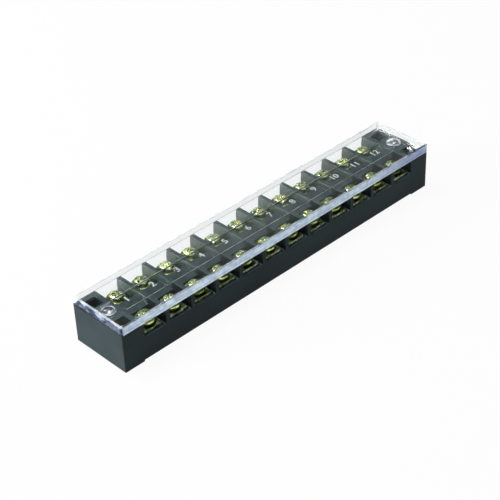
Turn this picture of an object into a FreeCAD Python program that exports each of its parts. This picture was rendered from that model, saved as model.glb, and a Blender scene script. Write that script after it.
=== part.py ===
import FreeCAD
import Part
import Sketcher
import math
import os

# Barrier terminal strip: a black moulded base with two rows of clamp screws, one contact strap
# under each pair of screws, and a clear cover whose two bosses plug into the base.
# X runs along the row of poles, Y from the front to the back, Z up from the mounting surface.
# The origin is at the middle of the underside.

doc = FreeCAD.newDocument("barrier_terminal_strip")
FRONT, BACK = -1, 1

# Driving dimensions, in millimetres

sizes = doc.addObject("Spreadsheet::Sheet", "Dimensions")
driving = [
    ("pole_count", "12", "poles in the row"),
    ("pole_pitch", "12.0", "distance between neighbouring poles"),
    ("barrier_thickness", "1.8", "wall between two poles"),
    ("end_block_length", "9.9", "solid block outside the first and last pole"),
    ("base_width", "27.0", "front face to back face"),
    ("head_clearance", "1.4", "screw heads to barrier tops"),
    ("base_corner_radius", "0.5", "upright outer corners"),
    ("foot_length", "9.0", "foot under each end"),
    ("foot_relief", "0.6", "underside raised between the feet"),
    ("floor_height", "10.4", "floor that the straps lie on"),
    ("floor_corner_radius", "0.8", "rounding between floor and barrier"),
    ("bridge_thickness", "2.1", "bar that bridges the straps, above them"),
    ("washer_side_gap", "0.15", "washer to that bar"),
    ("well_side_gap", "0.5", "round the screw in its blind hole"),
    ("well_end_gap", "0.6", "below the end of a tightened screw"),
    ("strap_width", "8.6", "contact strap, along the row"),
    ("strap_thickness", "1.1", "contact strap, sheet thickness"),
    ("strap_inset", "1.2", "strap end behind the base's face"),
    ("strap_corner_radius", "0.9", "strap corners"),
    ("strap_slot_clearance", "0.1", "around the strap where it passes the spine"),
    ("screw_setback", "5.6", "screw axis behind the base's face"),
    ("screw_radius", "1.75", "screw shank"),
    ("screw_length", "7.9", "screw shank below the head"),
    ("screw_tip_chamfer", "0.5", "lead at the screw's end"),
    ("screw_fit", "0.05", "radial gap between shank and strap hole"),
    ("head_radius", "2.6", "screw head"),
    ("head_height", "1.8", "screw head"),
    ("head_edge_radius", "0.6", "rounded edge of the head"),
    ("slot_width", "0.8", "driver slot"),
    ("slot_depth", "0.9", "driver slot"),
    ("cross_length", "3.2", "short arm of the driver recess"),
    ("washer_radius", "3.7", "clamp washer"),
    ("washer_thickness", "0.8", "clamp washer"),
    ("washer_chamfer", "0.2", "upper edge of the washer"),
    ("washer_bore_gap", "0.2", "radial gap between shank and washer"),
    ("clamp_gap", "0.9", "open clamp, strap to washer"),
    ("mount_inset", "5.2", "mounting hole from the end of the base"),
    ("mount_hole_radius", "1.75", "mounting hole"),
    ("core_inset", "2.2", "core-out from the end of the base"),
    ("core_length", "5.4", "core-out along the row"),
    ("core_side_wall", "3.0", "core-out from the front or back face"),
    ("core_width", "5.0", "core-out across the row"),
    ("core_bottom", "6.0", "bottom of the core-out above the mounting surface"),
    ("plate_thickness", "1.2", "cover plate"),
    ("rim_height", "3.5", "cover rim above the base"),
    ("rim_thickness", "1.0", "cover rim"),
    ("rim_corner_radius", "0.8", "upright inner corners of the rim"),
    ("channel_depth", "0.5", "sunk number strip along the cover"),
    ("boss_radius", "2.75", "cover boss that plugs into the base"),
    ("boss_wall", "0.65", "wall of the hollow boss"),
    ("boss_length", "3.4", "cover boss below the plate"),
    ("boss_fit", "0.08", "radial gap between boss and counterbore"),
    ("mount_head_room", "2.6", "below the boss, for the mounting screw's head"),
    ("collar_overhang", "0.2", "raised ring outside the boss below it"),
    ("collar_width", "0.6", "raised ring"),
    ("collar_height", "0.4", "raised ring above the plate"),
]
derived = [
    ("barrier_gap", "=pole_pitch - barrier_thickness", "clear width of a pole"),
    ("row_length", "=(pole_count - 1) * pole_pitch", "first pole to last pole"),
    ("base_length", "=row_length + barrier_gap + 2 * end_block_length", "overall length"),
    ("strap_top", "=floor_height + strap_thickness", "upper face of the straps"),
    ("strap_length", "=base_width - 2 * strap_inset", "contact strap across the row"),
    ("washer_seat", "=strap_top + clamp_gap", "underside of an open washer"),
    ("head_seat", "=washer_seat + washer_thickness", "underside of the screw head"),
    ("base_height", "=head_seat + head_height + head_clearance", "overall, to barrier tops"),
    ("screw_offset", "=base_width / 2 - screw_setback", "screw axis from the middle line"),
    ("spine_half", "=screw_offset - washer_radius - washer_side_gap", "half the bar's width"),
    ("spine_height", "=strap_top + bridge_thickness", "top of that bar"),
    ("well_radius", "=screw_radius + well_side_gap", "blind hole under the screw"),
    ("well_depth", "=screw_length + well_end_gap - washer_thickness - strap_thickness", "below the floor"),
    ("mount_offset", "=base_length / 2 - mount_inset", "mounting hole from the middle"),
    ("collar_radius", "=boss_radius + collar_overhang", "raised ring above each boss"),
    ("plate_top", "=base_height + plate_thickness", "upper face of the cover plate"),
    ("rim_top", "=base_height + rim_height", "upper edge of the cover rim"),
    ("core_x", "=base_length / 2 - core_inset - core_length / 2", "core-out centre"),
    ("core_y", "=base_width / 2 - core_side_wall - core_width / 2", "core-out centre"),
]
for row, (alias, value, meaning) in enumerate(driving + derived, start=1):
    sizes.set(f"A{row}", alias)
    sizes.set(f"B{row}", value)
    sizes.set(f"C{row}", meaning)
    sizes.setAlias(f"B{row}", alias)
doc.recompute()


def bound(names):
    """Expression text with each size name read from the sheet."""
    words = names.replace("(", " ( ").replace(")", " ) ").split()
    known = {alias for alias, value, meaning in driving + derived}
    return " ".join(f"Dimensions.{word}" if word in known else word for word in words)


def size(names):
    """The number that such an expression gives now."""
    value = sizes.evalExpression(bound(names))
    return float(getattr(value, "Value", value))


# Sketch and feature helpers


def new_body(name):
    body = doc.addObject("PartDesign::Body", name)
    body.Label = name
    return body


def origin_plane(body, role):
    return next(plane for plane in body.Origin.OriginFeatures if plane.Role == role)


def new_sketch(body, name, plane, offset=None):
    """A sketch on one of the body's own origin planes, moved along the plane's normal."""
    sketch = body.newObject("Sketcher::SketchObject", name)
    sketch.AttachmentSupport = (origin_plane(body, plane), [""])
    sketch.MapMode = "FlatFace"
    if offset:
        sketch.setExpression("AttachmentOffset.Base.z", bound(offset))
    return sketch


def fix(sketch, kind, places, names):
    """A dimension of the sketch, bound to an expression of the sheet's sizes."""
    index = sketch.addConstraint(Sketcher.Constraint(kind, *places, size(names)))
    sketch.setExpression(f"Constraints[{index}]", bound(names))


def fix_point(sketch, geometry, vertex, x_names, y_names):
    for kind, names in (("DistanceX", x_names), ("DistanceY", y_names)):
        fix(sketch, kind, (-1, 1, geometry, vertex), names)


def polygon(sketch, corners):
    """A closed outline of straight lines through corners given as expressions."""
    spots = [FreeCAD.Vector(size(x), size(y), 0) for x, y in corners]
    lines = [
        sketch.addGeometry(Part.LineSegment(start, spots[(i + 1) % len(spots)]), False)
        for i, start in enumerate(spots)
    ]
    for i, line in enumerate(lines):
        following = lines[(i + 1) % len(lines)]
        sketch.addConstraint(Sketcher.Constraint("Coincident", line, 2, following, 1))
        fix_point(sketch, line, 1, *corners[i])


def rectangle(sketch, x_middle, y_middle, length, width):
    left, right = f"{x_middle} - ({length}) / 2", f"{x_middle} + ({length}) / 2"
    front, rear = f"{y_middle} - ({width}) / 2", f"{y_middle} + ({width}) / 2"
    polygon(sketch, [(left, front), (right, front), (right, rear), (left, rear)])


def circle(sketch, x_names, y_names, radius):
    middle = FreeCAD.Vector(size(x_names), size(y_names), 0)
    round_edge = Part.Circle(middle, FreeCAD.Vector(0, 0, 1), size(radius))
    index = sketch.addGeometry(round_edge, False)
    fix_point(sketch, index, 3, x_names, y_names)
    fix(sketch, "Radius", (index,), radius)


def pad(body, sketch, name, length, downward=False, both_ways=False):
    feature = body.newObject("PartDesign::Pad", name)
    feature.Profile = sketch
    feature.Reversed = downward
    if both_ways:
        feature.SideType = "Symmetric"
    feature.setExpression("Length", bound(length))
    return feature


def pocket(body, sketch, name, depth):
    feature = body.newObject("PartDesign::Pocket", name)
    feature.Profile = sketch
    feature.setExpression("Length", bound(depth))
    return feature


def pocket_along_width(body, sketch, name):
    feature = body.newObject("PartDesign::Pocket", name)
    feature.Profile = sketch
    feature.SideType = "Symmetric"
    feature.setExpression("Length", bound("base_width + 2 * base_corner_radius"))
    return feature


def along_row(body, originals, name):
    """Repeats features of the first pole at every pole."""
    pattern = body.newObject("PartDesign::LinearPattern", name)
    pattern.Originals = originals
    pattern.Direction = (originals[0].Profile[0], ["H_Axis"])
    pattern.setExpression("Length", bound("row_length"))
    pattern.setExpression("Occurrences", bound("pole_count"))
    body.Tip = pattern
    return pattern


def round_upright_edges(body, name, radius, wanted):
    """A fillet on the straight upright edges whose middle passes the test."""
    doc.recompute()
    before = body.Tip
    chosen = []
    for index, edge in enumerate(before.Shape.Edges, start=1):
        start, end = edge.Vertexes[0].Point, edge.Vertexes[-1].Point
        upright = abs(start.x - end.x) + abs(start.y - end.y) < 1e-6
        if upright and wanted((start + end) / 2):
            chosen.append(f"Edge{index}")
    fillet = body.newObject("PartDesign::Fillet", name)
    fillet.Base = (before, chosen)
    fillet.setExpression("Radius", bound(radius))
    return fillet


# Base housing: one phenolic moulding with open poles, feet, wells and end core-outs


def floor_profile(sketch):
    """The first pole's section: an open slot with rounded lower corners."""
    x = size("row_length / -2")
    half = size("barrier_gap / 2")
    floor, top = size("floor_height"), size("base_height + foot_relief")
    radius = size("floor_corner_radius")
    left, right = x - half, x + half
    point = FreeCAD.Vector
    upward = FreeCAD.Vector(0, 0, 1)
    spots = [
        Part.LineSegment(point(right, top, 0), point(left, top, 0)),
        Part.LineSegment(point(left, top, 0), point(left, floor + radius, 0)),
        Part.ArcOfCircle(
            Part.Circle(point(left + radius, floor + radius, 0), upward, radius),
            math.pi,
            1.5 * math.pi,
        ),
        Part.LineSegment(point(left + radius, floor, 0), point(right - radius, floor, 0)),
        Part.ArcOfCircle(
            Part.Circle(point(right - radius, floor + radius, 0), upward, radius),
            1.5 * math.pi,
            2 * math.pi,
        ),
        Part.LineSegment(point(right, floor + radius, 0), point(right, top, 0)),
    ]
    lid, left_wall, left_arc, floor_line, right_arc, right_wall = (
        sketch.addGeometry(spot, False) for spot in spots
    )
    join = Sketcher.Constraint
    for pair in (
        ("Coincident", lid, 2, left_wall, 1),
        ("Coincident", right_wall, 2, lid, 1),
        ("Tangent", left_wall, 2, left_arc, 1),
        ("Tangent", left_arc, 2, floor_line, 1),
        ("Tangent", floor_line, 2, right_arc, 1),
        ("Tangent", right_arc, 2, right_wall, 1),
        ("Horizontal", floor_line),
        ("Vertical", left_wall),
        ("Vertical", right_wall),
        ("Equal", left_arc, right_arc),
    ):
        sketch.addConstraint(join(*pair))
    fix_point(sketch, lid, 2, "row_length / -2 - barrier_gap / 2", "base_height + foot_relief")
    fix_point(sketch, lid, 1, "row_length / -2 + barrier_gap / 2", "base_height + foot_relief")
    fix(sketch, "DistanceY", (-1, 1, floor_line, 1), "floor_height")
    fix(sketch, "Radius", (left_arc,), "floor_corner_radius")


def make_base():
    body = new_body("base_housing")
    outline = new_sketch(body, "side_outline", "XZ_Plane")
    step = "base_length / 2 - foot_length"
    polygon(
        outline,
        [
            ("base_length / -2", "0"),
            (f"0 - ({step})", "0"),
            (f"0 - ({step})", "foot_relief"),
            (step, "foot_relief"),
            (step, "0"),
            ("base_length / 2", "0"),
            ("base_length / 2", "base_height"),
            ("base_length / -2", "base_height"),
        ],
    )
    pad(body, outline, "block", "base_width", both_ways=True)

    section = new_sketch(body, "pole_section", "XZ_Plane")
    floor_profile(section)
    opening = pocket_along_width(body, section, "pole_opening")
    along_row(body, [opening], "pole_openings")

    bridge = new_sketch(body, "spine_section", "XZ_Plane")
    height = "spine_height - foot_relief"
    rectangle(bridge, "0", f"foot_relief + ({height}) / 2", "row_length + pole_pitch", height)
    pad(body, bridge, "spine", "2 * spine_half", both_ways=True)

    tunnel = new_sketch(body, "strap_slot_section", "XZ_Plane")
    slot_height = "strap_thickness + strap_slot_clearance"
    rectangle(
        tunnel,
        "row_length / -2",
        f"floor_height + ({slot_height}) / 2",
        "strap_width + 2 * strap_slot_clearance",
        slot_height,
    )
    slot = pocket_along_width(body, tunnel, "strap_slot")
    wells = new_sketch(body, "screw_wells", "XY_Plane", "floor_height")
    for side in (FRONT, BACK):
        circle(wells, "row_length / -2", f"{side} * screw_offset", "well_radius")
    well = pocket(body, wells, "screw_well", "well_depth")
    along_row(body, [slot, well], "slots_and_wells")

    cores = new_sketch(body, "end_cores", "XY_Plane", "base_height")
    bores = new_sketch(body, "mounting_holes", "XY_Plane", "base_height")
    sinks = new_sketch(body, "boss_sockets", "XY_Plane", "base_height")
    for end in (-1, 1):
        for side in (FRONT, BACK):
            rectangle(cores, f"{end} * core_x", f"{side} * core_y", "core_length", "core_width")
        circle(bores, f"{end} * mount_offset", "0", "mount_hole_radius")
        circle(sinks, f"{end} * mount_offset", "0", "boss_radius + boss_fit")
    pocket(body, cores, "core_outs", "base_height - core_bottom")
    pocket(body, sinks, "boss_counterbores", "boss_length + mount_head_room")
    pocket(body, bores, "mounting_bores", "base_height + foot_relief")

    at_end = size("base_length") / 2
    at_face = size("base_width") / 2
    round_upright_edges(
        body,
        "outer_corners",
        "base_corner_radius",
        lambda spot: abs(abs(spot.x) - at_end) < 1e-3 and abs(abs(spot.y) - at_face) < 1e-3,
    )
    return body


# Clear cover: a plate on the barrier tops with a rim, a sunk number strip and two hollow bosses


def make_cover():
    body = new_body("clear_cover")
    outline = new_sketch(body, "cover_outline", "XY_Plane", "base_height")
    rectangle(outline, "0", "0", "base_length", "base_width")
    pad(body, outline, "cover_block", "rim_height")

    tray = new_sketch(body, "tray_outline", "XY_Plane", "rim_top")
    inner_length = "base_length - 2 * rim_thickness"
    inner_width = "base_width - 2 * rim_thickness"
    rectangle(tray, "0", "0", inner_length, inner_width)
    pocket(body, tray, "tray", "rim_height - plate_thickness")

    strip = new_sketch(body, "number_strip_outline", "XY_Plane", "plate_top")
    rectangle(strip, "0", "0", "row_length + barrier_gap", "2 * spine_half")
    pocket(body, strip, "number_strip", "channel_depth")

    rings = new_sketch(body, "collars", "XY_Plane", "plate_top")
    bosses = new_sketch(body, "bosses", "XY_Plane", "base_height")
    for end in (-1, 1):
        middle = f"{end} * mount_offset"
        circle(rings, middle, "0", "collar_radius")
        circle(rings, middle, "0", "collar_radius - collar_width")
        circle(bosses, middle, "0", "boss_radius")
        circle(bosses, middle, "0", "boss_radius - boss_wall")
    pad(body, rings, "raised_rings", "collar_height")
    pad(body, bosses, "plug_bosses", "boss_length", downward=True)

    outer_x, outer_y = size("base_length") / 2, size("base_width") / 2
    inner_x, inner_y = size(inner_length) / 2, size(inner_width) / 2
    for name, radius, x, y in (
        ("outer_corners", "base_corner_radius", outer_x, outer_y),
        ("inner_corners", "rim_corner_radius", inner_x, inner_y),
    ):
        round_upright_edges(
            body,
            name,
            radius,
            lambda spot, x=x, y=y: abs(abs(spot.x) - x) < 1e-3 and abs(abs(spot.y) - y) < 1e-3,
        )
    return body


# Contact strap: a flat bar under each pole's two screws, with a screw hole near each end


def make_strap(pole):
    body = new_body(f"contact_strap_{pole:02d}")
    place = f"row_length / -2 + {pole - 1} * pole_pitch"
    outline = new_sketch(body, f"strap_outline_{pole:02d}", "XY_Plane", "floor_height")
    rectangle(outline, place, "0", "strap_width", "strap_length")
    for side in (FRONT, BACK):
        circle(outline, place, f"{side} * screw_offset", "screw_radius + screw_fit")
    pad(body, outline, f"strap_sheet_{pole:02d}", "strap_thickness")
    round_upright_edges(
        body,
        f"strap_corners_{pole:02d}",
        "strap_corner_radius",
        lambda spot: abs(spot.y) > size("strap_length") / 2 - 1e-3,
    )
    return body


# Terminal screw: binding head with a slot and cross recess, modelled with its head seat at z = 0


def make_screw():
    body = new_body("screw_pattern")
    half = new_sketch(body, "screw_half_section", "XZ_Plane")
    point = FreeCAD.Vector
    radius, edge = size("head_radius"), size("head_edge_radius")
    height = size("head_height")
    shank, length = size("screw_radius"), size("screw_length")
    lead = size("screw_tip_chamfer")
    rounding = Part.ArcOfCircle(
        Part.Circle(point(radius - edge, height - edge, 0), point(0, 0, 1), edge),
        0,
        math.pi / 2,
    )
    lines = [
        Part.LineSegment(point(0, height, 0), point(0, -length, 0)),
        Part.LineSegment(point(0, -length, 0), point(shank - lead, -length, 0)),
        Part.LineSegment(point(shank - lead, -length, 0), point(shank, lead - length, 0)),
        Part.LineSegment(point(shank, lead - length, 0), point(shank, 0, 0)),
        Part.LineSegment(point(shank, 0, 0), point(radius, 0, 0)),
        Part.LineSegment(point(radius, 0, 0), point(radius, height - edge, 0)),
        rounding,
        Part.LineSegment(point(radius - edge, height, 0), point(0, height, 0)),
    ]
    axis, tip, chamfer, side, seat, rim, arc, crown = (
        half.addGeometry(line, False) for line in lines
    )
    join = Sketcher.Constraint
    for pair in (
        ("Coincident", axis, 2, tip, 1),
        ("Coincident", tip, 2, chamfer, 1),
        ("Coincident", chamfer, 2, side, 1),
        ("Coincident", side, 2, seat, 1),
        ("Coincident", seat, 2, rim, 1),
        ("Tangent", rim, 2, arc, 1),
        ("Tangent", arc, 2, crown, 1),
        ("Coincident", crown, 2, axis, 1),
        ("Vertical", rim),
        ("Horizontal", crown),
    ):
        half.addConstraint(join(*pair))
    fix_point(half, axis, 1, "0", "head_height")
    fix_point(half, axis, 2, "0", "0 - screw_length")
    fix_point(half, chamfer, 1, "screw_radius - screw_tip_chamfer", "0 - screw_length")
    fix_point(half, side, 1, "screw_radius", "screw_tip_chamfer - screw_length")
    fix_point(half, seat, 1, "screw_radius", "0")
    fix_point(half, seat, 2, "head_radius", "0")
    fix(half, "Radius", (arc,), "head_edge_radius")
    turned = body.newObject("PartDesign::Revolution", "turned_screw")
    turned.Profile = half
    turned.ReferenceAxis = (half, ["V_Axis"])
    turned.Angle = 360

    recess = new_sketch(body, "driver_recess_outline", "XY_Plane", "head_height")
    rectangle(recess, "0", "0", "2 * head_radius + slot_width", "slot_width")
    pocket(body, recess, "driver_slot", "slot_depth")
    arm = new_sketch(body, "driver_cross_outline", "XY_Plane", "head_height")
    rectangle(arm, "0", "0", "slot_width", "cross_length")
    pocket(body, arm, "driver_cross", "slot_depth")
    return body


# Clamp washer: carried under the screw head, modelled with its underside at z = 0


def make_washer():
    body = new_body("washer_pattern")
    ring = new_sketch(body, "washer_section", "XZ_Plane")
    polygon(
        ring,
        [
            ("screw_radius + washer_bore_gap", "0"),
            ("washer_radius", "0"),
            ("washer_radius", "washer_thickness - washer_chamfer"),
            ("washer_radius - washer_chamfer", "washer_thickness"),
            ("screw_radius + washer_bore_gap", "washer_thickness"),
        ],
    )
    turned = body.newObject("PartDesign::Revolution", "turned_washer")
    turned.Profile = ring
    turned.ReferenceAxis = (ring, ["V_Axis"])
    turned.Angle = 360
    return body


def place_copy(pattern, name, pole, side, height, turn):
    """A copy of a pattern piece on one screw axis, turned about it."""
    copy = doc.addObject("Part::Compound", name)
    copy.Label = name
    copy.Links = [pattern]
    copy.Placement.Rotation = FreeCAD.Rotation(FreeCAD.Vector(0, 0, 1), turn)
    copy.setExpression("Placement.Base.x", bound(f"row_length / -2 + {pole - 1} * pole_pitch"))
    copy.setExpression("Placement.Base.y", bound(f"{side} * screw_offset"))
    copy.setExpression("Placement.Base.z", bound(height))
    return copy


STRAPS_PER_NODE = 2
TURN_STEP = 67.5

poles = range(1, int(size("pole_count")) + 1)
sub_parts = [make_base(), make_cover()]

straps = [make_strap(pole) for pole in poles]
for first in range(0, len(straps), STRAPS_PER_NODE):
    group = straps[first : first + STRAPS_PER_NODE]
    name = f"contact_straps_{first + 1:02d}_{first + len(group):02d}"
    joined = doc.addObject("Part::Compound", name)
    joined.Label = name
    joined.Links = group
    sub_parts.append(joined)

screw, washer = make_screw(), make_washer()
for row_name, side in (("front", FRONT), ("back", BACK)):
    for pole in poles:
        turn = TURN_STEP * (pole + side) % 180
        ending = f"{row_name}_{pole:02d}"
        sub_parts.append(
            place_copy(screw, f"terminal_screw_{ending}", pole, side, "head_seat", turn)
        )
        sub_parts.append(
            place_copy(washer, f"clamp_washer_{ending}", pole, side, "washer_seat", 0)
        )

# Check every object, then write each sub-part

doc.recompute()
for thing in doc.Objects:
    if "Invalid" in thing.State or "Error" in thing.State:
        raise RuntimeError(f"{thing.Label} did not compute: {thing.State}")
for sub_part in sub_parts:
    if sub_part.Shape.isNull() or not sub_part.Shape.isValid():
        raise RuntimeError(f"{sub_part.Label} has no valid shape")

os.makedirs("parts", exist_ok=True)
for sub_part in sub_parts:
    sub_part.Shape.exportStep(f"parts/{sub_part.Label}.step")
    solids, volume = len(sub_part.Shape.Solids), sub_part.Shape.Volume
    print(f"{sub_part.Label}: {solids} solid(s), {volume:.1f} cubic millimetres")
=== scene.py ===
import math

import bmesh
import bpy
from mathutils import Matrix, Vector


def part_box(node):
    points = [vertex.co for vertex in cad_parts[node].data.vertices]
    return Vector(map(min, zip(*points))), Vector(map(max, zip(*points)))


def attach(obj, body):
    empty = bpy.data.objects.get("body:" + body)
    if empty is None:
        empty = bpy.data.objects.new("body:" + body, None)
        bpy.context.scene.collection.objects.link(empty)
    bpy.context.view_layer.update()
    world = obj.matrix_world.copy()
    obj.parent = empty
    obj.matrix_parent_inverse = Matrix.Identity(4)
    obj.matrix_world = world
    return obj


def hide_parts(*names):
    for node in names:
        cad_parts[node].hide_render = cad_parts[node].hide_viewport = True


# Barrier terminal strip: black moulded base, contact straps, clamp screws and a clear cover.
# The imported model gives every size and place, and this script dresses it.

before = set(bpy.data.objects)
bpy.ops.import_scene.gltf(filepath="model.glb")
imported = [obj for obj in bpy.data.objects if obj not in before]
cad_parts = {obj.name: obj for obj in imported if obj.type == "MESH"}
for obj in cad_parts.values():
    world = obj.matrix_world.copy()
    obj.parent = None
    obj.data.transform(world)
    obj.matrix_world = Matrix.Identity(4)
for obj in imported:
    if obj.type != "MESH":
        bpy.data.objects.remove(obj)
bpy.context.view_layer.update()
mm = 0.001
poleCount = sum(name.startswith("terminal_screw_front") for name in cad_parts)
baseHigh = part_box("base_housing")[1]
coverLow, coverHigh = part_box("clear_cover")
print("Frame loaded:", len(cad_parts), "nodes,", poleCount, "poles")


# Materials


def newMaterial(name):
    material = bpy.data.materials.new(name)
    material.use_nodes = True
    nodes = material.node_tree.nodes
    return material, nodes, material.node_tree.links, nodes["Principled BSDF"]


def setInputs(node, **values):
    for name, value in values.items():
        node.inputs[name.replace("_", " ")].default_value = value


def placeNoise(nodes, links, scale, detail=3.0, stretch=(1, 1, 1), roughness=0.5):
    coords = nodes.new("ShaderNodeTexCoord")
    mapping = nodes.new("ShaderNodeMapping")
    mapping.inputs["Scale"].default_value = stretch
    noise = nodes.new("ShaderNodeTexNoise")
    setInputs(noise, Scale=scale, Detail=detail, Roughness=roughness)
    links.new(coords.outputs["Object"], mapping.inputs["Vector"])
    links.new(mapping.outputs["Vector"], noise.inputs["Vector"])
    return noise.outputs["Fac"]


def placeRamp(nodes, links, factor, stops):
    ramp = nodes.new("ShaderNodeValToRGB")
    while len(ramp.color_ramp.elements) < len(stops):
        ramp.color_ramp.elements.new(0.5)
    for element, (position, colour) in zip(ramp.color_ramp.elements, stops):
        element.position = position
        element.color = (*colour, 1)
    links.new(factor, ramp.inputs["Fac"])
    return ramp.outputs["Color"]


def placeRange(nodes, links, factor, low, high, start=0.0, end=1.0):
    spread = nodes.new("ShaderNodeMapRange")
    setInputs(spread, From_Min=start, From_Max=end, To_Min=low, To_Max=high)
    links.new(factor, spread.inputs["Value"])
    return spread.outputs["Result"]


def placeMath(nodes, links, operation, first, second):
    maths = nodes.new("ShaderNodeMath")
    maths.operation = operation
    for socket, value in zip(maths.inputs, (first, second)):
        if isinstance(value, float):
            socket.default_value = value
        else:
            links.new(value, socket)
    return maths.outputs["Value"]


def placeBump(nodes, links, height, distance):
    bump = nodes.new("ShaderNodeBump")
    setInputs(bump, Strength=1.0, Distance=distance)
    links.new(height, bump.inputs["Height"])
    return bump.outputs["Normal"]


plasticIor = 1.5
plasticLooks = {
    "grainedBlackPlastic": {
        "stops": [(0.3, (0.0190, 0.0284, 0.0308)), (0.7, (0.0298, 0.0430, 0.0466))],
        "grainDepth": 0.000012,
        "roughness": (0.40, 0.56),
        "shine": 0.06,
    },
    # lighter, glossier copy of the black plastic: its lighter colour is painted light on the side
    # faces in the back of each pole
    "paintedLitBlackPlastic": {
        "stops": [(0.3, (0.027, 0.038, 0.033)), (0.7, (0.044, 0.060, 0.051))],
        "grainDepth": 0.000004,
        "roughness": (0.18, 0.34),
        "shine": 0.7,
    },
    # near-black copy of the black plastic: painted shade in the cores, in the front of each pole and
    # in a band under the cover's rim
    "paintedShadeBlackPlastic": {
        "stops": [(0.3, (0.003, 0.004, 0.004)), (0.7, (0.008, 0.011, 0.011))],
        "grainDepth": 0.000004,
        "roughness": (0.22, 0.40),
        "shine": 0.12,
    },
}
plasticNoise = {
    "tone": {"scale": 60, "detail": 4, "stretch": (0.4, 1, 1)},
    "grain": {"scale": 2600, "detail": 2},
}


def makePlastic(name):
    look = plasticLooks[name]
    material, nodes, links, shader = newMaterial(name)
    tone = placeNoise(nodes, links, **plasticNoise["tone"])
    grain = placeNoise(nodes, links, **plasticNoise["grain"])
    links.new(placeRamp(nodes, links, tone, look["stops"]), shader.inputs["Base Color"])
    links.new(placeRange(nodes, links, tone, *look["roughness"]), shader.inputs["Roughness"])
    links.new(placeBump(nodes, links, grain, look["grainDepth"]), shader.inputs["Normal"])
    setInputs(shader, IOR=plasticIor, Specular_IOR_Level=look["shine"])
    return material


zincLooks = {
    # yellow and green chromate tones; the white and near-black patches are painted glints and
    # painted dark reflections
    "yellowZincWithPaintedGlints": {
        "stops": [
            (0.385, (0.10, 0.13, 0.02)),
            (0.44, (0.60, 0.86, 0.32)),
            (0.51, (1.0, 1.0, 0.98)),
            (0.60, (0.98, 0.90, 0.22)),
        ],
        "toneScale": 800,
        "grainScale": 1900,
        "grainDepth": 0.00008,
        "roughness": (0.10, 0.28),
    },
    "washerZinc": {
        "stops": [
            (0.36, (0.03, 0.04, 0.01)),
            (0.52, (0.08, 0.10, 0.04)),
            (0.66, (0.26, 0.28, 0.11)),
        ],
        "toneScale": 500,
        "grainScale": 1400,
        "grainDepth": 0.00005,
        "roughness": (0.22, 0.42),
    },
    # brighter copy of the washer zinc for its upper outer rim: painted highlight
    "washerPaintedHighlightZinc": {
        "stops": [
            (0.40, (0.08, 0.11, 0.02)),
            (0.50, (0.46, 0.58, 0.10)),
            (0.60, (0.98, 1.0, 0.44)),
        ],
        "toneScale": 500,
        "grainScale": 1400,
        "grainDepth": 0.00002,
        "roughness": (0.20, 0.34),
    },
}


def makeZinc(name):
    look = zincLooks[name]
    material, nodes, links, shader = newMaterial(name)
    tone = placeNoise(nodes, links, look["toneScale"])
    grain = placeNoise(nodes, links, look["grainScale"])
    links.new(placeRamp(nodes, links, tone, look["stops"]), shader.inputs["Base Color"])
    links.new(placeRange(nodes, links, grain, *look["roughness"]), shader.inputs["Roughness"])
    links.new(placeBump(nodes, links, grain, look["grainDepth"]), shader.inputs["Normal"])
    setInputs(shader, Metallic=1.0)
    return material


strapLooks = {
    "platedStrap": {
        "stops": [
            (0.34, (0.04, 0.06, 0.03)),
            (0.50, (0.12, 0.16, 0.08)),
            (0.64, (0.36, 0.44, 0.28)),
        ],
        "toneScale": 300,
        "roughness": (0.24, 0.42),
    },
    # brighter copy of the strap metal for its end faces: painted highlight along the front edge
    "paintedHighlightStrapEnd": {
        "stops": [
            (0.38, (0.10, 0.13, 0.04)),
            (0.50, (0.34, 0.40, 0.16)),
            (0.62, (0.80, 0.86, 0.60)),
        ],
        "toneScale": 700,
        "roughness": (0.30, 0.50),
    },
}
brushNoise = {"scale": 900, "detail": 4, "stretch": (0.15, 1, 1)}
brushDepth = 0.000006


def makeStrapMetal(name):
    look = strapLooks[name]
    material, nodes, links, shader = newMaterial(name)
    tone = placeNoise(nodes, links, look["toneScale"])
    brush = placeNoise(nodes, links, **brushNoise)
    links.new(placeRamp(nodes, links, tone, look["stops"]), shader.inputs["Base Color"])
    links.new(placeRange(nodes, links, brush, *look["roughness"]), shader.inputs["Roughness"])
    links.new(placeBump(nodes, links, brush, brushDepth), shader.inputs["Normal"])
    setInputs(shader, Metallic=1.0)
    return material


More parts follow.
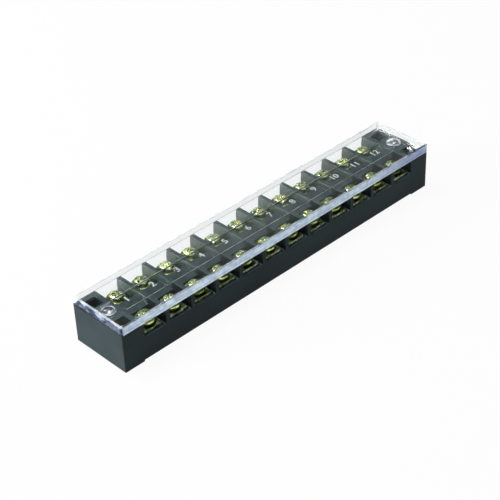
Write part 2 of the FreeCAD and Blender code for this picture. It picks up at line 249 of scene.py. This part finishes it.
coverLook = {
    "tint": (0.96, 0.985, 0.985),
    "shadowTint": (0.88, 0.91, 0.92, 1),
    "clearRoughness": (0.01, 0.04),
    "smear": {"scale": 90, "detail": 4, "stretch": (0.3, 1, 1)},
}
paintedHazeLooks = {
    # haze that paints the light refracted in the front wall, with painted shade towards its right
    # end
    "paintedLightFront": {
        "tint": (0.86, 0.92, 1.0),
        "roughness": (0.25, 0.55),
        "haze": [(0.40, (0.34, 0.42, 0.54)), (0.60, (0.60, 0.70, 0.83))],
        "glow": 0.4,
        "share": (0.58, 0.74),
        "paintedShade": {
            "axis": "X",
            "start": 0.048,
            "end": 0.074,
            "colour": (0.12, 0.14, 0.36),
            "share": 0.85,
        },
    },
    "paintedLightEnd": {
        # haze whose dark blotches paint refracted images in the left wall, with painted shade
        # towards its foot
        "tint": (0.60, 0.68, 0.80),
        "roughness": (0.2, 0.5),
        "haze": [(0.42, (0.02, 0.03, 0.06)), (0.52, (0.10, 0.13, 0.20)), (0.61, (0.36, 0.43, 0.54))],
        "glow": 0.2,
        "share": (0.76, 0.96),
        "paintedShade": {
            "axis": "Z",
            "start": 0.0184,
            "end": 0.0166,
            "colour": (0.01, 0.012, 0.02),
            "share": 0.9,
        },
    },
    # near-black haze: painted shadow in the gap at the foot of the left wall
    "paintedShadowSeam": {
        "tint": (0.10, 0.11, 0.13),
        "roughness": (0.3, 0.5),
        "haze": [(0.4, (0.006, 0.007, 0.010)), (0.6, (0.016, 0.018, 0.026))],
        "glow": 0.1,
        "share": (0.95, 1.0),
    },
    # dark haze: painted shade on the line along the front wall and on the strip's end and back walls
    "paintedShadeRim": {
        "tint": (0.50, 0.56, 0.56),
        "roughness": (0.1, 0.3),
        "haze": [(0.4, (0.04, 0.05, 0.05)), (0.6, (0.09, 0.11, 0.11))],
        "glow": 0.1,
        "share": (0.80, 0.95),
    },
    # dark haze: painted shade on the front rim's top
    "paintedShadeRimTop": {
        "tint": (0.50, 0.56, 0.56),
        "roughness": (0.1, 0.3),
        "haze": [(0.4, (0.05, 0.06, 0.06)), (0.6, (0.12, 0.14, 0.15))],
        "glow": 0.1,
        "share": (0.30, 0.60),
    },
    # haze that whitens the rings' collars: painted highlight
    "paintedHighlightRing": {
        "tint": (0.92, 0.96, 1.0),
        "roughness": (0.1, 0.3),
        "haze": [(0.46, (0.16, 0.19, 0.24)), (0.54, (0.90, 0.95, 1.0))],
        "glow": 0.2,
        "share": (0.15, 0.60),
    },
    # near-white haze: painted highlight on the left rim's top and the rings' inner walls
    "paintedHighlightEdge": {
        "tint": (0.95, 0.98, 1.0),
        "roughness": (0.2, 0.4),
        "haze": [(0.40, (0.60, 0.67, 0.78)), (0.6, (1.0, 1.0, 1.0))],
        "glow": 0.3,
        "share": (0.50, 0.90),
    },
    # near-white haze on the back and right rim tops and the back of the left wall, painted to match
    # the pale floor seen through them
    "paleEdge": {
        "tint": (0.98, 0.99, 1.0),
        "roughness": (0.1, 0.3),
        "haze": [(0.3, (0.96, 0.98, 0.98)), (0.7, (1.0, 1.0, 1.0))],
        "glow": 0.35,
        "share": (0.70, 0.92),
    },
    # grey haze in each ring's middle, whose white patches are painted glints
    "hazyDiscWithGlints": {
        "tint": (0.92, 0.96, 1.0),
        "roughness": (0.08, 0.3),
        "haze": [(0.45, (0.06, 0.07, 0.08)), (0.52, (0.16, 0.18, 0.20)), (0.57, (1.0, 1.0, 1.0))],
        "glow": 0.2,
        "share": (0.50, 0.85),
    },
    # light haze beside each edge of the number strip: a painted highlight line
    "paintedHighlightLine": {
        "tint": (0.95, 0.98, 1.0),
        "roughness": (0.2, 0.4),
        "haze": [(0.3, (0.50, 0.54, 0.55)), (0.7, (0.62, 0.67, 0.68))],
        "glow": 0.2,
        "share": (0.16, 0.24),
    },
}
hazeNoise = {
    "streak": {"scale": 500, "detail": 4, "stretch": (0.08, 0.3, 1)},
    "blotch": {"scale": 420, "stretch": (0.7, 0.7, 1), "roughness": 0.6},
    "mottle": {"scale": 520, "stretch": (0.7, 0.7, 1), "roughness": 0.6},
}
blotchSpan = (0.35, 0.65)
paintedShadePatches = {"low": 0.55, "high": 1.1, "start": 0.46, "end": 0.54}


def letLampsThrough(nodes, links, surface):
    # lamps reach what is under the cover
    path = nodes.new("ShaderNodeLightPath")
    passing = nodes.new("ShaderNodeBsdfTransparent")
    passing.inputs["Color"].default_value = coverLook["shadowTint"]
    mix = nodes.new("ShaderNodeMixShader")
    links.new(path.outputs["Is Shadow Ray"], mix.inputs["Fac"])
    links.new(surface, mix.inputs[1])
    links.new(passing.outputs["BSDF"], mix.inputs[2])
    links.new(mix.outputs["Shader"], nodes["Material Output"].inputs["Surface"])


def makeCoverClear():
    look = coverLook
    material, nodes, links, shader = newMaterial("clearCoverPlastic")
    smear = placeNoise(nodes, links, **look["smear"])
    links.new(placeRange(nodes, links, smear, *look["clearRoughness"]), shader.inputs["Roughness"])
    setInputs(shader, Base_Color=(*look["tint"], 1), Transmission_Weight=1.0, IOR=plasticIor)
    letLampsThrough(nodes, links, shader.outputs["BSDF"])
    return material


def placeFade(nodes, links, colour, mottle, paintedShade):
    # painted shade: a dark second haze colour comes in along one axis
    coords = nodes.new("ShaderNodeTexCoord")
    split = nodes.new("ShaderNodeSeparateXYZ")
    links.new(coords.outputs["Object"], split.inputs["Vector"])
    reach = split.outputs[paintedShade["axis"]]
    along = placeRange(nodes, links, reach, 0.0, paintedShade["share"], paintedShade["start"], paintedShade["end"])
    patches = placeRange(nodes, links, mottle, **paintedShadePatches)
    patchy = placeMath(nodes, links, "MULTIPLY", along, patches)
    mix = nodes.new("ShaderNodeMix")
    mix.data_type = "RGBA"
    mix.inputs["B"].default_value = (*paintedShade["colour"], 1)
    links.new(patchy, mix.inputs["Factor"])
    links.new(colour, mix.inputs["A"])
    return mix.outputs["Result"]


def makeFrosted(name):
    # clear plastic with an uneven haze in it, whose colour paints the light, highlights and shade
    # seen in the clear walls
    look = paintedHazeLooks[name]
    material, nodes, links, shader = newMaterial(name)
    streak, blotch, mottle = (placeNoise(nodes, links, **noise) for noise in hazeNoise.values())
    links.new(placeRange(nodes, links, streak, *look["roughness"]), shader.inputs["Roughness"])
    setInputs(shader, Base_Color=(*look["tint"], 1), Transmission_Weight=1.0, IOR=plasticIor)
    hazeColour = placeRamp(nodes, links, mottle, look["haze"])
    if "paintedShade" in look:
        hazeColour = placeFade(nodes, links, hazeColour, mottle, look["paintedShade"])
    haze = nodes.new("ShaderNodeMixShader")
    haze.inputs["Fac"].default_value = look["glow"]
    for slot, kind in ((1, "ShaderNodeBsdfDiffuse"), (2, "ShaderNodeBsdfTranslucent")):
        scatter = nodes.new(kind)
        links.new(hazeColour, scatter.inputs["Color"])
        links.new(scatter.outputs["BSDF"], haze.inputs[slot])
    mix = nodes.new("ShaderNodeMixShader")
    links.new(placeRange(nodes, links, blotch, *look["share"], *blotchSpan), mix.inputs["Fac"])
    links.new(shader.outputs["BSDF"], mix.inputs[1])
    links.new(haze.outputs["Shader"], mix.inputs[2])
    letLampsThrough(nodes, links, mix.outputs["Shader"])
    return material


numberLook = {
    "stops": [(0.35, (0.300, 0.324, 0.324)), (0.6, (0.50, 0.54, 0.54))],
    "wearScale": 900,
    "roughness": (0.3, 0.6),
}


def makeNumberPaint():
    look = numberLook
    material, nodes, links, shader = newMaterial("silverNumbers")
    wear = placeNoise(nodes, links, look["wearScale"])
    links.new(placeRamp(nodes, links, wear, look["stops"]), shader.inputs["Base Color"])
    links.new(placeRange(nodes, links, wear, *look["roughness"]), shader.inputs["Roughness"])
    return material


basePlastics = [makePlastic(name) for name in plasticLooks]
headZincWithGlints, *washerZincAndHighlight = [makeZinc(name) for name in zincLooks]
strapMetals = [makeStrapMetal(name) for name in strapLooks]
coverClear = makeCoverClear()
coverLooks = [coverClear, *(makeFrosted(name) for name in paintedHazeLooks)]
numberPaint = makeNumberPaint()
print("Materials made")


# Mesh helpers


touching = 0.01 * mm  # a face nearer than this to a level lies on it
facing = 0.9  # least share of a normal along an axis for a face that looks that way
weldGap = 0.001 * mm
spinWeld = 0.0005 * mm
cutSnap = 0.0001 * mm
flatAngle = 0.5  # degrees within which neighbours count as one flat face


def finishPiece(name, bm, materials, body, nodes=(), smoothAngle=30):
    mesh = bpy.data.meshes.new(name)
    bm.to_mesh(mesh)
    bm.free()
    for material in materials:
        mesh.materials.append(material)
    mesh.shade_smooth()
    mesh.set_sharp_from_angle(angle=math.radians(smoothAngle))
    piece = bpy.data.objects.new(name, mesh)
    bpy.context.scene.collection.objects.link(piece)
    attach(piece, body)
    if nodes:
        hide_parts(*nodes)
    return piece


def middleOf(node):
    low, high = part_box(node)
    return (low + high) / 2


def addObject(name, bm):
    mesh = bpy.data.meshes.new(name)
    bm.to_mesh(mesh)
    bm.free()
    thing = bpy.data.objects.new(name, mesh)
    bpy.context.scene.collection.objects.link(thing)
    return thing


def appliedMesh(thing, name):
    bpy.context.view_layer.update()
    depsgraph = bpy.context.evaluated_depsgraph_get()
    mesh = bpy.data.meshes.new_from_object(thing.evaluated_get(depsgraph))
    mesh.name = name
    return mesh


def spinProfile(points, sides):
    # a half section of x and z is turned round the z axis
    bm = bmesh.new()
    verts = [bm.verts.new((x * mm, 0, z * mm)) for x, z in points]
    edges = [bm.edges.new(pair) for pair in zip(verts, verts[1:])]
    bmesh.ops.spin(
        bm,
        geom=verts + edges,
        cent=(0, 0, 0),
        axis=(0, 0, 1),
        angle=math.tau,
        steps=sides,
        use_merge=True,
    )
    bmesh.ops.remove_doubles(bm, verts=bm.verts, dist=spinWeld)
    bmesh.ops.recalc_face_normals(bm, faces=bm.faces)
    return bm


def cutAlong(bm, point, normal, faces=None):
    # all faces, or only those given, are cut along a plane
    parts = [*bm.verts, *bm.edges, *bm.faces]
    if faces:
        edges = {edge for face in faces for edge in face.edges}
        parts = [*{vert for edge in edges for vert in edge.verts}, *edges, *faces]
    cut = bmesh.ops.bisect_plane(bm, geom=parts, dist=cutSnap, plane_co=point, plane_no=normal)
    return cut["geom_cut"]


def mergedCopy(node, seams=()):
    # flat areas become one face each, split only where a seam crosses the holes in them
    bm = bmesh.new()
    bm.from_mesh(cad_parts[node].data)
    bmesh.ops.remove_doubles(bm, verts=bm.verts, dist=weldGap)
    for place in seams:
        for item in cutAlong(bm, (place, 0, 0), (1, 0, 0)):
            if isinstance(item, bmesh.types.BMEdge):
                item.seam = True
    bmesh.ops.dissolve_limit(
        bm,
        angle_limit=math.radians(flatAngle),
        verts=bm.verts,
        edges=bm.edges,
        delimit={"SEAM"},
    )
    return bm


def isLevel(face):
    return abs(face.normal.z) >= 0.5


def softenEdges(piece, width, angle=30):
    bevel = piece.modifiers.new("edgeRounding", "BEVEL")
    bevel.width = width * mm
    bevel.segments = 2
    bevel.limit_method = "ANGLE"
    bevel.angle_limit = math.radians(angle)
    bevel.use_clamp_overlap = False
    bevel.harden_normals = True
    bevel.miter_outer = "MITER_ARC"
    return bevel


# Base housing


baseShape = {
    "edgeRounding": 0.16,
    "underRim": 0.45,  # painted shade band on the end faces under the cover
    "endWall": 1.0,  # faces further in than this from the ends are inner ones
    "frontSkin": 0.1,  # and than this from the front and back
    "endBlock": 9.8,
    "mountInset": 5.2,
    "spineHalf": 3.5,
}
grainedPlastic, paintedLitPlastic, paintedShadePlastic = range(3)


def atBaseEnd(face):
    return abs(face.calc_center_median().x) > baseHigh.x - touching


def basePlasticAt(face):
    # painted shade under the rim, in the cores and in the front of each pole, painted light and more
    # gloss in its back
    shape = baseShape
    spot = face.calc_center_median()
    if atBaseEnd(face) and spot.z > baseHigh.z - shape["underRim"] * mm:
        return paintedShadePlastic
    fromEnd, fromFront = baseHigh.x - abs(spot.x), baseHigh.y - abs(spot.y)
    inside = fromEnd > shape["endWall"] * mm and fromFront > shape["frontSkin"] * mm
    if not inside or isLevel(face):
        return grainedPlastic
    inCore = fromEnd < shape["endBlock"] * mm
    inFront = spot.y < -shape["spineHalf"] * mm
    return paintedShadePlastic if inCore or inFront else paintedLitPlastic


def makeBase():
    shape = baseShape
    blockMiddle = baseHigh.x - shape["mountInset"] * mm
    bm = mergedCopy("base_housing", (-blockMiddle, blockMiddle))
    ends = [face for face in bm.faces if atBaseEnd(face)]
    cutAlong(bm, (0, 0, baseHigh.z - shape["underRim"] * mm), (0, 0, 1), ends)
    sides = [face for face in bm.faces if abs(face.normal.x) > facing]
    cutAlong(bm, (0, -shape["spineHalf"] * mm, 0), (0, 1, 0), sides)
    for face in bm.faces:
        face.material_index = basePlasticAt(face)
    piece = finishPiece("baseMoulding", bm, basePlastics, "base", ["base_housing"])
    softenEdges(piece, shape["edgeRounding"])
    # the large faces shade flat right up to their rounded edges
    flatten = piece.modifiers.new("flatFaces", "WEIGHTED_NORMAL")
    flatten.weight = 100
    flatten.keep_sharp = True


# Clear cover, with light and shade painted into its rim as haze


coverShape = {
    "edgeRounding": 0.14,
    "plate": 1.2,
    "underGap": 0.05,
    "underMargin": 0.3,
    "outerSkin": 0.6,  # faces within this of the front or left are their outer ones
    "rim": 1.0,
    "seam": 0.5,  # painted shadow strip at the foot of the left wall
    "shadeLine": (1.02, 1.14),  # painted shade line along the front wall
    "highlightEnd": 10.4,
    "stripHalf": 4.05,
    "stripDepth": 0.5,
    "stripEnd": 71.1,
    "lineWidth": 0.2,
    "ringInner": 2.4,
    "ringReach": 3.1,
    "ringInset": 5.2,
}
clearFace, frontFace, endFace, seamShadowFace, paintedShadeFace, rimTopShadeFace = range(6)
ringHighlightFace, highlightEdgeFace, paleFace, discFace, highlightLineFace = range(6, 11)
plateTop = baseHigh.z + coverShape["plate"] * mm


def atHeight(spot, height):
    return abs(spot.z - height) < touching


def liftPlate(bm):
    # the plate stands a hair above the barriers inside its bearing edge
    plan = coverShape
    under = [
        face
        for face in bm.faces
        if face.normal.z < -facing and atHeight(face.calc_center_median(), baseHigh.z)
    ]
    bmesh.ops.inset_region(bm, faces=under, thickness=plan["underMargin"] * mm)
    inner = {vert for face in under for vert in face.verts}
    bmesh.ops.translate(bm, vec=(0, 0, plan["underGap"] * mm), verts=list(inner))


def coverLookAt(face):
    # haze paints light and shade on the front and left walls, the rim's top, the rings and the lines
    # along the strip
    plan = coverShape
    spot = face.calc_center_median()
    rim = plan["rim"] * mm
    if atHeight(spot, coverHigh.z):
        if spot.x < coverLow.x + rim and spot.y < plan["highlightEnd"] * mm:
            return highlightEdgeFace
        return rimTopShadeFace if spot.y < coverLow.y + rim else paleFace
    ringMiddle = coverHigh.x - plan["ringInset"] * mm
    fromRing = max(math.hypot(abs(vert.co.x) - ringMiddle, vert.co.y) for vert in face.verts)
    if isLevel(face) and fromRing < plan["ringInner"] * mm:
        return discFace
    if fromRing < plan["ringReach"] * mm:
        if spot.z < plateTop:
            return clearFace
        return highlightEdgeFace if fromRing < plan["ringInner"] * mm else ringHighlightFace
    if atHeight(spot, plateTop):
        besideStrip = 0 < abs(spot.y) / mm - plan["stripHalf"] < plan["lineWidth"]
        onLine = besideStrip and abs(spot.x) < plan["stripEnd"] * mm
        return highlightLineFace if onLine else clearFace
    if isLevel(face):
        return clearFace
    aboveBase = spot.z > baseHigh.z
    inStripEnd = abs(face.normal.x) > facing and abs(spot.x) < coverHigh.x - 2 * rim
    inStripBack = face.normal.y < -facing and 0 < spot.y < coverHigh.y - 2 * rim
    # the strip's end and back walls take painted shade
    if aboveBase and (inStripEnd or inStripBack):
        return paintedShadeFace
    skin = plan["outerSkin"] * mm
    if spot.x < coverLow.x + skin:
        if spot.y + spot.z > coverHigh.y + baseHigh.z:
            return paleFace
        return endFace if spot.z > baseHigh.z + plan["seam"] * mm else seamShadowFace
    if spot.y > coverLow.y + skin:
        return clearFace
    shadeLow, shadeHigh = plan["shadeLine"]
    return paintedShadeFace if shadeLow * mm < spot.z - baseHigh.z < shadeHigh * mm else frontFace


def markRounding(bm, angle=30):
    # every sharp edge is rounded but those of the number strip
    weights = bm.edges.layers.float.new("bevel_weight_edge")
    plan = coverShape
    strip = (plan["stripHalf"] + plan["lineWidth"]) * mm
    for edge in bm.edges:
        middle = (edge.verts[0].co + edge.verts[1].co) / 2
        depth = plateTop - middle.z
        inDepth = -touching < depth < plan["stripDepth"] * mm + touching
        inStrip = inDepth and abs(middle.y) < strip
        if edge.is_manifold and edge.calc_face_angle(0) > math.radians(angle):
            edge[weights] = 0.0 if inStrip else 1.0


def makeCover():
    bm = mergedCopy("clear_cover")
    plan = coverShape
    cutAlong(bm, (0, coverLow.y + plan["rim"] * mm, 0), (0, 1, 0))
    cutAlong(bm, (0, plan["highlightEnd"] * mm, 0), (0, 1, 0))
    leftWall = [face for face in bm.faces if face.calc_center_median().x < coverLow.x + touching]
    cutAlong(bm, (0, coverHigh.y, baseHigh.z), (0, 1, 1), leftWall)
    cutAlong(bm, (coverLow.x + plan["rim"] * mm, 0, 0), (1, 0, 0))
    for level in (plan["seam"], *plan["shadeLine"]):
        cutAlong(bm, (0, 0, baseHigh.z + level * mm), (0, 0, 1))
    lineEnd = plan["stripHalf"] + plan["lineWidth"]
    for side in (-1, 1):
        cutAlong(bm, (0, side * lineEnd * mm, 0), (0, 1, 0))
        cutAlong(bm, (side * plan["stripEnd"] * mm, 0, 0), (1, 0, 0))
    for face in bm.faces:
        face.material_index = coverLookAt(face)
    liftPlate(bm)
    markRounding(bm)
    piece = finishPiece("coverMoulding", bm, coverLooks, "cover", ["clear_cover"])
    softenEdges(piece, plan["edgeRounding"]).limit_method = "WEIGHT"


# Contact straps


strapShape = {"edgeRounding": 0.12, "endReach": 2.0, "endFacing": 0.7}


def makeStraps():
    shape = strapShape
    low = baseHigh.y - shape["endReach"] * mm
    for node in sorted(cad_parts):
        if node.startswith("contact_straps"):
            name = node.replace("contact_straps", "plated_straps")
            bm = mergedCopy(node)
            for face in bm.faces:
                atEnd = abs(face.calc_center_median().y) > low
                # the end faces take the painted highlight
                face.material_index = int(atEnd and abs(face.normal.y) > shape["endFacing"])
            piece = finishPiece(name, bm, strapMetals, "base", [node])
            softenEdges(piece, shape["edgeRounding"])


# Terminal screws: a domed head with a slot and cross, and a threaded shank


screwShape = {
    "crown": 0.25,
    "edgeRadius": 0.5,
    "slotWidth": 0.8,
    "slotDepth": 0.9,
    "crossLength": 3.2,
    "slotReach": 3,  # in head radii, so that the slot runs right across
    "cutterRise": 1,
    "shankRadius": 1.75,
    "threadDepth": 0.3,
    "threadPitch": 0.6,
    "ridgeShare": 0.44,
    "ridgeRoot": 0.05,
    "stepsPerTurn": 20,
    "tipLead": 0.5,
    "tipTaper": 0.4,
    "turnStep": 67.5,
    "sides": 48,
    "arcSteps": 6,
    "edgeRounding": 0.06,
    "roundedAngle": 40,
    "smoothAngle": 35,
}


def boxCutter(name, length, width, low, high):
    bm = bmesh.new()
    bmesh.ops.create_cube(bm, size=1)
    bmesh.ops.scale(bm, vec=(length * mm, width * mm, (high - low) * mm), verts=bm.verts)
    bmesh.ops.translate(bm, vec=(0, 0, (low + high) / 2 * mm), verts=bm.verts)
    return addObject(name, bm)


def headProfile(headRadius, headHeight, shankRadius):
    # half section from the crown's middle over the edge and under the head
    crown, edge = screwShape["crown"], screwShape["edgeRadius"]
    flat = headRadius - edge
    steps = screwShape["arcSteps"]
    points = [(0, headHeight)]
    for step in range(1, steps + 1):
        reach = flat * step / steps
        points.append((reach, headHeight - crown * (reach / flat) ** 2))
    shoulder = headHeight - crown
    for step in range(1, steps + 1):
        angle = math.pi / 2 * (1 - step / steps)
        points.append(
            (flat + edge * math.cos(angle), shoulder - edge + edge * math.sin(angle))
        )
    points += [(headRadius, 0), (shankRadius, 0)]
    return points


def threadRidge(low, high):
    # a closed three-sided ridge wound round the shank
    shape = screwShape
    outer, root = shape["shankRadius"], shape["shankRadius"] - shape["threadDepth"]
    half = shape["threadPitch"] * shape["ridgeShare"]
    inner = root - shape["ridgeRoot"]
    turns = (high - low) / shape["threadPitch"]
    steps = int(turns * shape["stepsPerTurn"])
    bm = bmesh.new()
    section = [(inner, -half), (outer, 0), (inner, half)]
    verts = [bm.verts.new((x * mm, 0, (low + z) * mm)) for x, z in section]
    face = bm.faces.new(verts)
    bmesh.ops.spin(
        bm,
        geom=[face, *face.edges, *face.verts],
        cent=(0, 0, 0),
        axis=(0, 0, 1),
        dvec=(0, 0, (high - low) / steps * mm),
        angle=math.tau * turns,
        steps=steps,
        use_merge=False,
    )
    bmesh.ops.remove_doubles(bm, verts=bm.verts, dist=spinWeld)
    bmesh.ops.recalc_face_normals(bm, faces=bm.faces)
    return bm


def makeScrewPattern(headRadius, headHeight, shankLength):
    shape = screwShape
    core = shape["shankRadius"] - shape["threadDepth"]
    tip, taperEnd = -shankLength, -shankLength + shape["tipLead"]
    points = headProfile(headRadius, headHeight, core)
    points += [(core, taperEnd), (core - shape["tipTaper"], tip), (0, tip)]
    head = addObject("screwBlank", spinProfile(points, shape["sides"]))
    low, high = headHeight - shape["slotDepth"], headHeight + shape["cutterRise"]
    width = shape["slotWidth"]
    cutters = [
        boxCutter("slotCutter", headRadius * shape["slotReach"], width, low, high),
        boxCutter("crossCutter", width, shape["crossLength"], low, high),
    ]
    for cutter in cutters:
        cut = head.modifiers.new(cutter.name, "BOOLEAN")
        cut.operation = "DIFFERENCE"
        cut.solver = "EXACT"
        cut.object = cutter
    softenEdges(head, shape["edgeRounding"], shape["roundedAngle"])
    mesh = appliedMesh(head, "screwPattern")
    for thing in [head, *cutters]:
        bpy.data.objects.remove(thing)
    ridge = threadRidge(taperEnd, -shape["threadPitch"] / 2)
    ridgeMesh = bpy.data.meshes.new("threadRidge")
    ridge.to_mesh(ridgeMesh)
    ridge.free()
    bm = bmesh.new()
    bm.from_mesh(mesh)
    bm.from_mesh(ridgeMesh)
    for spare in (mesh, ridgeMesh):
        bpy.data.meshes.remove(spare)
    return bm


# Clamp washers


washerShape = {
    "boreRadius": 1.95,
    "edge": 0.34,
    "edgeBulge": 0.3,
    "burr": 0.08,
    "seatGap": 0.02,
    "edgeFacing": 0.1,
    "sides": 56,
}


def makeWasherPattern(radius, thickness):
    shape = washerShape
    bore, edge, burr, gap = shape["boreRadius"], shape["edge"], shape["burr"], shape["seatGap"]
    bulge = edge * shape["edgeBulge"]
    points = [
        (bore, burr), (bore + burr, gap), (radius - burr, gap), (radius, burr),
        (radius, thickness - edge), (radius - bulge, thickness - bulge),
        (radius - edge, thickness), (bore + burr, thickness), (bore, thickness - burr), (bore, burr),
    ]
    bm = spinProfile(points, shape["sides"])
    for face in bm.faces:
        outward = face.calc_center_median().xy.length > (radius - edge) * mm
        # faces on the upper outer rim take the painted highlight
        face.material_index = int(outward and face.normal.z > shape["edgeFacing"])
    return bm


# A screw and a washer at both ends of every pole


def makeScrewsAndWashers():
    low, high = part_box("terminal_screw_front_01")
    washerLow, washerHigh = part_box("clamp_washer_front_01")
    seat, smooth = washerHigh.z, screwShape["smoothAngle"]
    pattern = makeScrewPattern(
        (high.x - low.x) / 2 / mm, (high.z - seat) / mm, (seat - low.z) / mm
    )
    washerPattern = makeWasherPattern(
        (washerHigh.x - washerLow.x) / 2 / mm, (seat - washerLow.z) / mm
    )
    for row, side in (("front", -1), ("back", 1)):
        for pole in range(1, poleCount + 1):
            ending = f"{row}_{pole:02d}"
            middle = middleOf(f"terminal_screw_{ending}")
            turn = math.radians(screwShape["turnStep"] * (pole + side) % 180)
            placed = pattern.copy()
            place = Matrix.Translation((middle.x, middle.y, seat)) @ Matrix.Rotation(turn, 4, "Z")
            placed.transform(place)
            finishPiece(
                f"zinc_screw_{ending}", placed, [headZincWithGlints], f"screw_{ending}",
                [f"terminal_screw_{ending}"], smooth,
            )
            ring = washerPattern.copy()
            ring.transform(Matrix.Translation((middle.x, middle.y, washerLow.z)))
            finishPiece(
                f"zinc_washer_{ending}", ring, washerZincAndHighlight, f"washer_{ending}",
                [f"clamp_washer_{ending}"], smooth,
            )
    pattern.free()
    washerPattern.free()


# Pole numbers on the sunk strip of the cover


numberShape = {
    "height": 2.9,
    "thickness": 0.1,
    "boldness": 0.008,
    "weld": 0.0001,
    "shift": (-0.6, 0.8),
}


def numberMesh(text):
    curve = bpy.data.curves.new("number" + text, "FONT")
    curve.body = text
    curve.size = 1
    curve.offset = numberShape["boldness"]
    thing = bpy.data.objects.new("number" + text, curve)
    bpy.context.scene.collection.objects.link(thing)
    mesh = appliedMesh(thing, "number" + text)
    bpy.data.objects.remove(thing)
    bpy.data.curves.remove(curve)
    return mesh


def makeNumbers(stripFloor):
    shape = numberShape
    for pole in range(1, poleCount + 1):
        middle = middleOf(f"terminal_screw_front_{pole:02d}")
        mesh = numberMesh(str(pole))
        bm = bmesh.new()
        bm.from_mesh(mesh)
        bpy.data.meshes.remove(mesh)
        bmesh.ops.remove_doubles(bm, verts=bm.verts, dist=shape["weld"])
        xs = [vert.co.x for vert in bm.verts]
        ys = [vert.co.y for vert in bm.verts]
        scale = shape["height"] * mm / (max(ys) - min(ys))
        centre = Vector(((max(xs) + min(xs)) / 2, (max(ys) + min(ys)) / 2, 0))
        bmesh.ops.translate(bm, vec=-centre, verts=bm.verts)
        bmesh.ops.scale(bm, vec=(scale,) * 3, verts=bm.verts)
        rise = bmesh.ops.extrude_face_region(bm, geom=bm.faces[:])
        top = [item for item in rise["geom"] if isinstance(item, bmesh.types.BMVert)]
        bmesh.ops.translate(bm, vec=(0, 0, shape["thickness"] * mm), verts=top)
        bmesh.ops.recalc_face_normals(bm, faces=bm.faces)
        shiftX, shiftY = shape["shift"]
        spot = (middle.x + shiftX * mm, shiftY * mm, stripFloor)
        bmesh.ops.translate(bm, vec=spot, verts=bm.verts)
        finishPiece(f"pole_number_{pole:02d}", bm, [numberPaint], "cover")


makeBase()
makeStraps()
print("Base and straps dressed")
makeScrewsAndWashers()
print("Screws and washers dressed")
makeCover()
makeNumbers(plateTop - coverShape["stripDepth"] * mm)
print("Cover and pole numbers dressed")


# Floor, light and camera


stageLook = {
    "floor": (0.58, 0.58, 0.58),
    "floorRoughness": 0.9,
    "floorSize": 4.0,
    "floorWhite": 0.94,
    "sky": [
        (0.0, (0.48, 0.51, 0.52)),
        (0.2, (0.36, 0.39, 0.40)),
        (0.42, (0.34, 0.37, 0.37)),
        (0.50, (0.16, 0.18, 0.18)),
        (0.562, (0.23, 0.25, 0.25)),
        (0.578, (0.33, 0.36, 0.35)),
        (0.586, (0.31, 0.34, 0.33)),
        (0.602, (0.07, 0.085, 0.08)),
        (0.66, (0.12, 0.14, 0.135)),
        (0.78, (0.44, 0.47, 0.45)),
        (1.0, (0.78, 0.81, 0.79)),
    ],
    "key": {"place": (-0.82, 0.46, 0.21), "size": 0.24, "power": 14.4},
    "top": {"place": (-0.17, 0.47, 0.81), "size": 0.42, "power": 7.5},
}


def placeSeen(nodes, links):
    # 1 for what the camera, polished metal and clear plastic look at
    path = nodes.new("ShaderNodeLightPath")
    seen = path.outputs["Is Camera Ray"]
    for ray in ("Is Glossy Ray", "Is Transmission Ray"):
        seen = placeMath(nodes, links, "MAXIMUM", seen, path.outputs[ray])
    return seen


def makeFloor():
    look = stageLook
    bm = bmesh.new()
    bmesh.ops.create_grid(bm, x_segments=1, y_segments=1, size=look["floorSize"] / 2)
    floor = addObject("studioFloor", bm)
    material, nodes, links, shader = newMaterial("paleFloor")
    setInputs(shader, Base_Color=(*look["floor"], 1), Specular_IOR_Level=0.0)
    setInputs(shader, Roughness=look["floorRoughness"])
    white = nodes.new("ShaderNodeEmission")
    share = placeMath(nodes, links, "MULTIPLY", placeSeen(nodes, links), look["floorWhite"])
    mix = nodes.new("ShaderNodeMixShader")
    links.new(share, mix.inputs["Fac"])
    links.new(shader.outputs["BSDF"], mix.inputs[1])
    links.new(white.outputs["Emission"], mix.inputs[2])
    links.new(mix.outputs["Shader"], nodes["Material Output"].inputs["Surface"])
    floor.data.materials.append(material)


def makeLamp(name, plan):
    lamp = bpy.data.lights.new(name, "AREA")
    lamp.size = plan["size"]
    lamp.energy = plan["power"]
    thing = bpy.data.objects.new(name, lamp)
    thing.location = plan["place"]
    thing.rotation_euler = (-Vector(plan["place"])).to_track_quat("-Z", "Y").to_euler()
    bpy.context.scene.collection.objects.link(thing)


def makeWorld():
    # pale below, a dark band half way up, which the plate mirrors, and pale again overhead
    world = bpy.data.worlds.new("studio")
    world.use_nodes = True
    nodes, links = world.node_tree.nodes, world.node_tree.links
    coords = nodes.new("ShaderNodeTexCoord")
    split = nodes.new("ShaderNodeSeparateXYZ")
    links.new(coords.outputs["Generated"], split.inputs["Vector"])
    sky = placeRamp(nodes, links, split.outputs["Z"], stageLook["sky"])
    links.new(sky, nodes["Background"].inputs["Color"])
    bpy.context.scene.world = world


cameraPlan = {
    "place": (-0.31120, -0.32616, 0.33105),
    "turn": (54.0023, 1.8835, -44.4022),
    "lens": 104.223,
    "sensor": 36.0,
    "clip": (0.01, 20),
}


def makeCamera():
    plan = cameraPlan
    camera = bpy.data.cameras.new("photoCamera")
    camera.lens = plan["lens"]
    camera.sensor_width = plan["sensor"]
    camera.clip_start, camera.clip_end = plan["clip"]
    thing = bpy.data.objects.new("photoCamera", camera)
    thing.location = plan["place"]
    thing.rotation_euler = [math.radians(angle) for angle in plan["turn"]]
    bpy.context.scene.collection.objects.link(thing)
    bpy.context.scene.camera = thing


makeFloor()
makeLamp("keyLamp", stageLook["key"])
makeLamp("topLamp", stageLook["top"])
makeWorld()
makeCamera()
bpy.context.scene.view_settings.view_transform = "Standard"
print("Floor, light and camera set")
